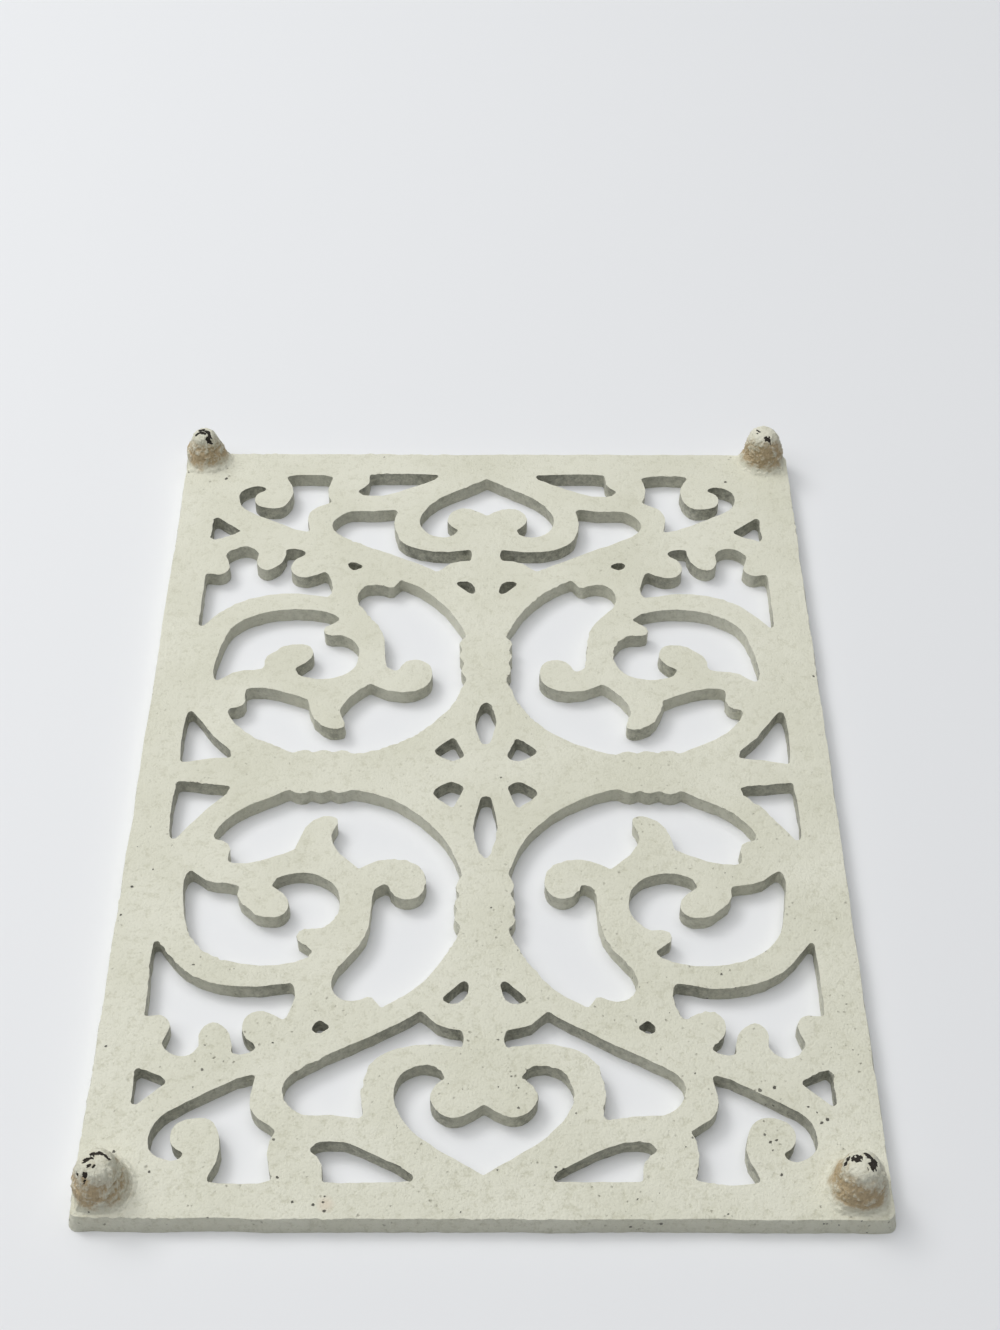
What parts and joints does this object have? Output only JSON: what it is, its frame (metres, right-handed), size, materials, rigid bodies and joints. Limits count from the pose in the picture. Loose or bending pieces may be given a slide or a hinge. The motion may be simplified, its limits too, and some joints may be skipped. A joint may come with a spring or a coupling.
{
  "type": "trivet",
  "caption": "Rectangular cast scrollwork trivet: a flat openwork plate with pierced roundels, hearts and volutes and a short tapered peg foot at each corner, for standing hot pots on.",
  "frame": {"origin": "centre of the plate's pot face, which is the underside as the part lies here; the two back feet reach 4 mm past the plate's back edge", "axes": "+X across the width, +Y along the length, +Z from the pot face towards the foot tips; turned over about X for use, so the feet point down"},
  "size_m": [0.2024, 0.2869, 0.0162],
  "materials": {
    "painted_iron": "matte cream paint over sand-cast iron"
  },
  "bodies": {
    "root": {"lattice_plate": "painted_iron", "foot_front_left": "painted_iron", "foot_front_right": "painted_iron", "foot_back_left": "painted_iron", "foot_back_right": "painted_iron"}
  },
  "joints": []
}
